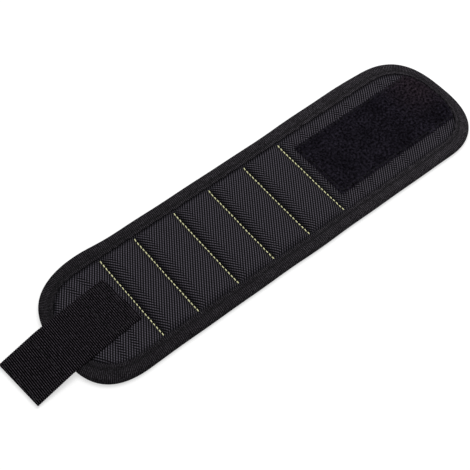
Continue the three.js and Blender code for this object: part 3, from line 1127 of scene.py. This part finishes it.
class WRISTBAND_OT_rows(Operator):
    """Sews the yellow rows across the band, through the face and the lining."""

    bl_idname = "wristband.rows"
    bl_label = "Rows of stitches"

    def execute(self, context):
        sizes = settings("thread")
        finish = thread("yellow_thread", settings("colours").yellow)
        y = np.linspace(-sizes.row_reach, sizes.row_reach, 400)
        for index, row in enumerate(sewn_rows):
            x = np.full_like(y, row)
            top, under = path_of(x, y, face_height(x, y)), path_of(x, y, lining_bottom(x, y))
            runs = [
                stitches_on(top, sizes.row_stitch, gap=0.17, slant=sizes.row_slant),
                stitches_on(under, sizes.row_stitch, up=-1.0),
            ]
            bend_with_fold(sew(f"row_stitches_{index + 1}", runs, sizes.row_thread, finish), folds.index(row))
        return {"FINISHED"}


class WRISTBAND_OT_tape_stitches(Operator):
    """Sews the edge tape to the band with black thread, above and below."""

    bl_idname = "wristband.tape_stitches"
    bl_label = "Tape stitches"

    def execute(self, context):
        sizes = settings("thread")
        finish = thread("black_thread", settings("colours").black)
        step, sunk = 0.5 * mm, 0.05 * mm
        for index in range(len(folds)):
            runs = []
            for first, last in rim_spans(index).values():
                along = np.linspace(first, last, round((last - first) / step))
                x, y = rim_place(along, sizes.tape_seam)
                depth = seam_depth(along, sizes.tape_seam)
                for height, up in ((tape_top - depth, 1.0), (depth + sunk, -1.0)):
                    runs.append(stitches_on(path_of(x, y, height), sizes.tape_stitch, gap=0.2, up=up))
            bend_with_fold(sew(f"tape_stitches_{index + 1}", runs, sizes.tape_thread, finish), index)
        return {"FINISHED"}


# Loop patch


patch_gap = 0.1 * mm  # between the face and the patch's base


def patch_end(y):
    """x where the loop patch ends: along the inside edge of the tape."""
    sizes = settings("cloth")
    clearance = 0.3 * mm
    share = 1 - (tape_width + clearance) / half_width
    power = sizes.end_roundness
    out = np.maximum(share**power - np.abs(y / half_width) ** power, 0) ** (1 / power)
    return band_end - sizes.end_reach + sizes.end_reach * out


def patch_top(x, y):
    """Top of the patch's base, rounded down at its edges."""
    edge = np.minimum(np.minimum(patch_high.y - np.abs(y), x - patch_low.x), patch_end(y) - x)
    rounding, edge_share = 0.8 * mm, 0.55
    round_off = edge_share + (1 - edge_share) * np.sqrt(np.clip(edge / rounding, 0, 1))
    return face_height(x, y) + patch_gap + settings("patch").base * round_off


class WRISTBAND_OT_loop_patch(Operator):
    """Makes the loop patch: a woven base in two lengths, each with its pile of small loops."""

    bl_idname = "wristband.loop_patch"
    bl_label = "Loop patch"

    def execute(self, context):
        finish = pile_cloth()
        half = patch_high.y
        step = 0.8 * mm
        cut = cuts[-2]
        lengths = [
            (last_fold - 1, patch_low.x, lambda y: np.full_like(y, cut), ["loop_patch_1"]),
            (last_fold, cut, patch_end, ["loop_patch_2", "loop_patch_3"]),
        ]
        for number, (index, low, end, nodes) in enumerate(lengths, 1):

            def place(u, v):
                y = (2 * v - 1) * half
                x = low + (end(y) - low) * u
                return x, y, patch_top(x, y)

            def flat(u, v):
                x, y, _ = place(u, v)
                return x, y

            length = float(end(np.zeros(1))[0]) - low
            bm = grid_mesh(round(length / step), round(2 * half / step), place, flat)
            thicken(bm, lambda x, y: patch_top(np.array(x), np.array(y)) - face_height(x, y) - patch_gap)
            obj = piece(f"loop_base_{number}", bm, finish, "loop_pile")
            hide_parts(*nodes)
            bend_with_fold(obj, index)
            bend_with_fold(pile(f"loop_pile_{number}", low, end, finish, number), index)
        self.sew_down()
        return {"FINISHED"}

    def sew_down(self):
        """Sews the loop patch down along its sides and its start."""
        sizes = settings("thread")
        margin, lifted = 1.6 * mm, 0.1 * mm
        half = patch_high.y - margin
        spans = [(patch_low.x + margin, cuts[-2]), (cuts[-2], float(patch_end(half)) - margin)]
        for number, (low, high) in enumerate(spans, 1):
            side = np.linspace(low, high, 120)
            lines = [(side, np.full_like(side, half)), (side, np.full_like(side, -half))]
            if number == 1:
                across = np.linspace(-half, half, 120)
                lines.append((np.full_like(across, low), across))
            paths = (path_of(x, y, patch_top(x, y) + lifted) for x, y in lines)
            runs = [stitches_on(path, sizes.tape_stitch, gap=0.2) for path in paths]
            obj = sew(f"patch_stitches_{number}", runs, sizes.tape_thread, bpy.data.materials["black_thread"])
            bend_with_fold(obj, last_fold - 2 + number)


def pile(name, low, end, finish, seed):
    """The small loops of the pile, each an arch of thread that leans its own way."""
    sizes = settings("patch")
    random = np.random.default_rng(seed)
    half = patch_high.y
    start_gap, far_gap, ragged_edge, hang_reach = 0.3 * mm, 0.2 * mm, 0.8, 1.1 * mm
    grid_x = np.arange(low + start_gap, float(end(np.zeros(1))[0]), sizes.loop_spacing)
    grid_y = np.arange(-half + start_gap, half - far_gap, sizes.loop_spacing)
    x, y = (part.ravel() for part in np.meshgrid(grid_x, grid_y))
    x = x + random.uniform(-0.5, 0.5, x.shape) * sizes.loop_spacing
    y = y + random.uniform(-0.5, 0.5, y.shape) * sizes.loop_spacing
    ragged = random.uniform(0, ragged_edge, x.shape) * mm
    kept = (x > low) & (x < end(y) - start_gap) & (np.abs(y) < half - ragged)
    x, y = x[kept], y[kept]
    arch_half, thread_stretch, segments, sides = 0.45 * mm, 0.5 * mm, 5, 3

    def arch(u, v):
        turn = math.pi * (0.05 + 0.9 * u)
        radius = sizes.loop_thread / 2 * np.where((u < 0.01) | (u > 0.99), 0, 1)
        around = 2 * math.pi * v
        out = 1 + radius * np.cos(around) / thread_stretch
        return -np.cos(turn) * out * arch_half, radius * np.sin(around), np.sin(turn) * out

    bm = grid_mesh(segments, sides, arch)
    bmesh.ops.remove_doubles(bm, verts=bm.verts[:], dist=merge_distance)
    bmesh.ops.recalc_face_normals(bm, faces=bm.faces[:])
    unit, mesh = copies(bm, len(x))
    turn = random.uniform(0, math.pi, len(x))[:, None]
    height = sizes.loop_height * random.uniform(0.5, 1.1, len(x))[:, None]
    stray = sizes.stray * random.uniform(0, 1, len(x))
    over_side = stray * np.exp(-(half - np.abs(y)) / hang_reach) * np.sign(y)
    over_start = -stray * np.exp(-(x - patch_low.x) / hang_reach)
    usual_lean = 0.45 * mm
    hanging = np.stack([over_start, over_side])[..., None]
    lean_x, lean_y = random.normal(0, usual_lean, (2, len(x), 1)) + hanging
    width = random.uniform(0.6, 1.3, len(x))[:, None]
    across, along, up = unit[:, 0] * width, unit[:, 1], unit[:, 2]
    sunk = 0.08 * mm
    points = path_of(
        x[:, None] + across * np.cos(turn) - along * np.sin(turn) + lean_x * up,
        y[:, None] + across * np.sin(turn) + along * np.cos(turn) + lean_y * up,
        patch_top(x, y)[:, None] - sunk + height * up,
    )
    set_points(mesh, points.reshape(-1, 3))
    spread = np.repeat(np.stack([x, y], axis=-1), len(unit), axis=0)
    corners = np.zeros(len(mesh.loops), dtype=int)
    mesh.loops.foreach_get("vertex_index", corners)
    mesh.uv_layers[CLOTH].data.foreach_set("uv", spread[corners].ravel())
    return piece(name, mesh, finish, "loop_pile")


# Strap


def strap_place(along, across, up):
    """A place on the strap: along its line, across it, and up from its middle layer."""
    sizes = settings("strap")
    bent_length, sunk_length, sunk_depth = 8 * mm, 9 * mm, 0.5 * mm
    to_bend = sizes.sewn + free_strap
    stations = np.linspace(0, to_bend + sizes.tip, 800)
    step = stations[1]
    angle = strap_droop * smooth(np.clip((stations - to_bend) / bent_length + 0.5, 0, 1))
    run = np.concatenate([[0], np.cumsum(np.cos(angle[1:]) * step)])
    sunk = sunk_depth * (1 - np.clip(stations / sunk_length, 0, 1)) ** 2
    drop = np.concatenate([[0], np.cumsum(np.sin(angle[1:]) * step)]) + sunk
    tilt = np.interp(along, stations, angle)
    forward = np.interp(along, stations, run) - sizes.sewn + up * np.sin(tilt)
    height = bend.z - np.interp(along, stations, drop) + up * np.cos(tilt)
    x = lift.x + forward * strap_along.x + across * strap_across.x
    y = lift.y + forward * strap_along.y + across * strap_across.y
    return x, y, height


def strap_profile(width, thickness):
    """The strap's closed section, as places across and up, and the way out at each."""
    half, radius = (width - thickness) / 2, thickness / 2
    level = np.linspace(-half, half, 26)
    turn = np.linspace(-math.pi / 2, math.pi / 2, 9)[1:-1]
    flat = np.full_like(level, radius)
    out, side = radius * np.cos(turn), radius * np.sin(turn)
    across = np.concatenate([level, half + out[::-1], level[::-1], -half - out])
    up = np.concatenate([flat, side[::-1], -flat, side])
    across, up = np.append(across, across[0]), np.append(up, up[0])
    out = np.stack([across - np.clip(across, -half, half), up], axis=-1)
    out /= np.linalg.norm(out, axis=1, keepdims=True)
    return across, up, out


class WRISTBAND_OT_strap(Operator):
    """Makes the webbing strap with its cross ribs, in two lengths, each over one bend."""

    bl_idname = "wristband.strap"
    bl_label = "Strap"

    def execute(self, context):
        sizes = settings("strap")
        finish = webbing_cloth()
        across, up, out = strap_profile(sizes.width, sizes.thickness)
        rows = len(across) - 1
        shares = np.arange(rows + 1) / rows
        middle = sizes.sewn + free_strap / 2
        whole = sizes.sewn + free_strap + sizes.tip
        step = sizes.rib / 7
        spans = {
            "strap_webbing_1": (0, middle, "strap_end", "strap_free", lift, ["strap_sewn", "strap_free"]),
            "strap_webbing_2": (middle, whole, "strap_free", "strap_tip", bend, ["strap_tip"]),
        }
        for name, (first, last, body_a, body_b, pivot, nodes) in spans.items():

            def place(u, v):
                along = first + (last - first) * u
                side = np.interp(v, shares, across)
                phase = (along - side * math.tan(sizes.rib_skew)) / sizes.rib
                relief = sizes.rib_height * (np.abs(np.sin(math.pi * phase)) ** 0.8 - 0.6)
                out_side, out_up = (relief * np.interp(v, shares, part) for part in out.T)
                return strap_place(along, side + out_side, np.interp(v, shares, up) + out_up)

            def flat(u, v):
                return first + (last - first) * u, np.interp(v, shares, across)

            bm = grid_mesh(round((last - first) / step), rows, place, flat)
            close_tube(bm)
            obj = piece(name, bm, finish, "webbing")
            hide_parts(*nodes)
            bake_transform(obj)
        return {"FINISHED"}


class WRISTBAND_OT_strap_stitches(Operator):
    """Sews the strap to the band, and the hook patch to the strap, with black thread."""

    bl_idname = "wristband.strap_stitches"
    bl_label = "Strap stitches"

    def execute(self, context):
        sizes = settings("strap")
        margin, box_length, second_row = 2.5 * mm, 20 * mm, 7 * mm
        half = sizes.width / 2 - margin
        second = [(second_row, half), (second_row, -half)]
        self.sew_on("strap_stitches", [self.ring(margin, box_length, half), second], "strap_end")
        inside_start, inside_tip = 1 * mm, 2 * mm
        whole = sizes.sewn + free_strap + sizes.tip
        start = whole - settings("patch").hook_length + inside_start
        self.sew_on("hook_stitches", [self.ring(start, whole - inside_tip, half)], "strap_tip")
        return {"FINISHED"}

    def ring(self, first, last, half):
        """The corners of a box of stitches, along and across the strap."""
        return [(first, half), (first, -half), (last, -half), (last, half), (first, half)]

    def sew_on(self, name, lines, body):
        """Sews lines of corners, given along and across the strap."""
        sizes = settings("thread")
        surface = settings("strap").thickness / 2 + 0.02 * mm
        share = np.linspace(0, 1, 60)
        runs = []
        for corners in lines:
            for (a, b), (c, d) in zip(corners, corners[1:]):
                path = path_of(*strap_place(a + (c - a) * share, b + (d - b) * share, surface))
                runs.append(stitches_on(path, sizes.strap_stitch, gap=0.2))
        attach(sew(name, runs, sizes.tape_thread, bpy.data.materials["black_thread"]), body)


class WRISTBAND_OT_hook_patch(Operator):
    """Makes the hook patch under the strap's tip: a moulded base with rows of small hooks."""

    bl_idname = "wristband.hook_patch"
    bl_label = "Hook patch"

    def execute(self, context):
        sizes = settings("patch")
        finish = hook_plastic()
        along = hook_down.cross(strap_across).normalized()
        bm = bmesh.new()
        bmesh.ops.create_cube(bm, size=1)
        bmesh.ops.scale(bm, verts=bm.verts[:], vec=(sizes.hook_length, sizes.hook_width, sizes.hook_base))
        least = sizes.hook_base / 2
        uprights = [edge for edge in bm.edges if abs(edge.verts[0].co.z - edge.verts[1].co.z) > least]
        bevel = {"affect": "EDGES", "offset": 1 * mm, "segments": 4, "profile": 0.5, "material": -1}
        bmesh.ops.bevel(bm, geom=uprights, **bevel)
        turn = Matrix((along, strap_across, hook_down)).transposed().to_4x4()
        base_middle = hook_centre - hook_down * (sizes.hook_rise + sizes.hook_base / 2)
        bmesh.ops.transform(bm, matrix=Matrix.Translation(base_middle) @ turn, verts=bm.verts[:])
        bmesh.ops.recalc_face_normals(bm, faces=bm.faces[:])
        base = piece("hook_base", bm, finish, "hook_tape")
        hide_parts("hook_patch")
        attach(base, "strap_tip")
        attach(self.hooks(finish, along), "strap_tip")
        return {"FINISHED"}

    def hooks(self, finish, along):
        """All the hooks as one piece, in rows that lean by turns to either side."""
        sizes = settings("patch")
        spacing_along, spacing_across, margin = 1.4 * mm, 1.7 * mm, 1.2 * mm
        half_length, half_across = sizes.hook_length / 2 - margin, sizes.hook_width / 2 - margin
        places = [
            (a, b, 1 if row % 2 else -1)
            for row, a in enumerate(np.arange(-half_length, half_length, spacing_along))
            for b in np.arange(-half_across, half_across, spacing_across)
        ]
        curve, stem_share, sunk = 0.22 * mm, 0.4, 0.02 * mm

        def crook(u, v):
            turn = math.pi * np.clip((u - stem_share) / (1 - stem_share), 0, 1) * 1.15
            stem = np.minimum(u / stem_share, 1)
            radius = np.interp(u, [0, 0.1, 0.8, 0.99, 1], [0.2, 0.15, 0.11, 0.08, 0]) * mm
            around = 2 * math.pi * v
            arm = curve - radius * np.cos(around)
            height = stem * (sizes.hook_rise - curve) + arm * np.sin(turn)
            return curve - arm * np.cos(turn), radius * np.sin(around), height

        bm = grid_mesh(7, 5, crook)
        close_tube(bm)
        unit, mesh = copies(bm, len(places))
        foot = hook_centre - hook_down * sizes.hook_rise
        local = np.stack([unit * np.array([lean, 1, 1]) + np.array([a, b, -sunk]) for a, b, lean in places])
        set_points(mesh, (local @ np.array([along, strap_across, hook_down]) + np.array(foot)).reshape(-1, 3))
        bm = bmesh.new()
        bm.from_mesh(mesh)
        bmesh.ops.recalc_face_normals(bm, faces=bm.faces[:])
        return piece("hooks", bm, finish, "hook_tape")


# Stage


def shader(tree, kind, **values):
    """A shader node with its values set, as its output."""
    node = tree.nodes.new("ShaderNode" + kind)
    for name, value in values.items():
        node.inputs[name].default_value = value
    return node.outputs[0]


def show(tree, lit, seen, output):
    """Ends a tree in one shader for the light on the object, and another for what is seen."""
    path = tree.nodes.new("ShaderNodeLightPath")
    rays = ("Camera", "Glossy", "Transmission")
    camera, gloss, glass = (Value(tree, path.outputs[f"Is {ray} Ray"]) for ray in rays)
    choose = tree.nodes.new("ShaderNodeMixShader")
    put(tree, choose.inputs[0], camera.at_least(gloss).at_least(glass))
    tree.links.new(lit, choose.inputs[1])
    tree.links.new(seen, choose.inputs[2])
    tree.links.new(choose.outputs[0], tree.nodes.new("ShaderNode" + output).inputs["Surface"])


class WRISTBAND_OT_stage(Operator):
    """Sets the white floor, the soft light and the camera of the photograph's view."""

    bl_idname = "wristband.stage"
    bl_label = "Stage"

    def execute(self, context):
        stage = settings("stage")
        self.camera(context, stage)
        self.floor(context, stage)
        self.lamp(context, stage)
        self.sky(context, stage)
        context.scene.view_settings.view_transform = "Standard"
        return {"FINISHED"}

    def camera(self, context, stage):
        """The camera looks at its target with a slight roll."""
        data = bpy.data.cameras.new("camera")
        data.sensor_width = 36
        data.lens = stage.lens
        data.clip_start = 0.01
        data.clip_end = 20
        camera = bpy.data.objects.new("camera", data)
        camera.location = stage.eye
        level = (Vector(stage.target) - Vector(stage.eye)).to_track_quat("-Z", "Y")
        camera.rotation_euler = (level @ Quaternion((0, 0, 1), stage.roll)).to_euler()
        context.scene.collection.objects.link(camera)
        context.scene.camera = camera

    def floor(self, context, stage):
        """A floor that shows white to the camera and keeps the shadow."""
        bm = bmesh.new()
        bmesh.ops.create_grid(bm, x_segments=1, y_segments=1, size=3)
        bmesh.ops.translate(bm, verts=bm.verts[:], vec=(0, 0, -0.02 * mm))
        mesh = mesh_of(bm, "floor")
        floor = bpy.data.objects.new("floor", mesh)
        context.scene.collection.objects.link(floor)
        material = bpy.data.materials.new("floor")
        material.use_nodes = True
        tree = material.node_tree
        tree.nodes.clear()
        lit = shader(tree, "BsdfDiffuse", Color=(0.8, 0.8, 0.8, 1))
        shown = shader(tree, "BsdfDiffuse", Color=(*[stage.floor] * 3, 1))
        seen = tree.nodes.new("ShaderNodeAddShader")
        tree.links.new(shown, seen.inputs[0])
        tree.links.new(shader(tree, "Emission", Strength=stage.glow), seen.inputs[1])
        show(tree, lit, seen.outputs[0], "OutputMaterial")
        mesh.materials.append(material)

    def lamp(self, context, stage):
        """One wide lamp above the loop end."""
        data = bpy.data.lights.new("key", "AREA")
        data.shape = "DISK"
        data.size = stage.lamp_width
        data.energy = stage.key
        lamp = bpy.data.objects.new("key", data)
        lamp.location = stage.lamp
        lamp.rotation_euler = (-lamp.location).to_track_quat("-Z", "Y").to_euler()
        context.scene.collection.objects.link(lamp)

    def sky(self, context, stage):
        """Even light from all round, as white as the floor where it is seen."""
        world = bpy.data.worlds.new("studio")
        world.use_nodes = True
        tree = world.node_tree
        tree.nodes.clear()
        white = (1, 1, 1, 1)
        lit = shader(tree, "Background", Color=white, Strength=stage.sky)
        seen = shader(tree, "Background", Color=white, Strength=stage.floor * stage.sky + stage.glow)
        show(tree, lit, seen, "OutputWorld")
        context.scene.world = world


class WRISTBAND_PT_pieces(Panel):
    """Lists the pieces of the wristband in the sidebar."""

    bl_idname = "WRISTBAND_PT_pieces"
    bl_label = "Magnetic wristband"
    bl_space_type = "VIEW_3D"
    bl_region_type = "UI"
    bl_category = "Wristband"

    def draw(self, context):
        for operator in operators:
            self.layout.operator(operator.bl_idname)
        for name in groups:
            box = self.layout.box()
            values = settings(name)
            for key in values.bl_rna.properties.keys():
                if key not in ("rna_type", "name"):
                    box.prop(values, key)


operators = [
    WRISTBAND_OT_face,
    WRISTBAND_OT_lining,
    WRISTBAND_OT_padding,
    WRISTBAND_OT_magnets,
    WRISTBAND_OT_tape,
    WRISTBAND_OT_rows,
    WRISTBAND_OT_tape_stitches,
    WRISTBAND_OT_loop_patch,
    WRISTBAND_OT_strap,
    WRISTBAND_OT_strap_stitches,
    WRISTBAND_OT_hook_patch,
    WRISTBAND_OT_stage,
]
groups = {
    "cloth": ClothSizes,
    "thread": ThreadSizes,
    "patch": PatchSizes,
    "strap": StrapSizes,
    "colours": Colours,
    "stage": StageSettings,
}


def register():
    """Adds the sizes, the operators and the panel."""
    for name, group in groups.items():
        bpy.utils.register_class(group)
        setattr(bpy.types.Scene, "wristband_" + name, PointerProperty(type=group))
    for operator in operators:
        bpy.utils.register_class(operator)
    bpy.utils.register_class(WRISTBAND_PT_pieces)


def unregister():
    """Takes them out again."""
    bpy.utils.unregister_class(WRISTBAND_PT_pieces)
    for operator in reversed(operators):
        bpy.utils.unregister_class(operator)
    for name, group in groups.items():
        delattr(bpy.types.Scene, "wristband_" + name)
        bpy.utils.unregister_class(group)


def main():
    """Makes every piece in order."""
    register()
    for operator in operators:
        group, name = operator.bl_idname.split(".")
        getattr(getattr(bpy.ops, group), name)()


if __name__ == "__main__":
    main()
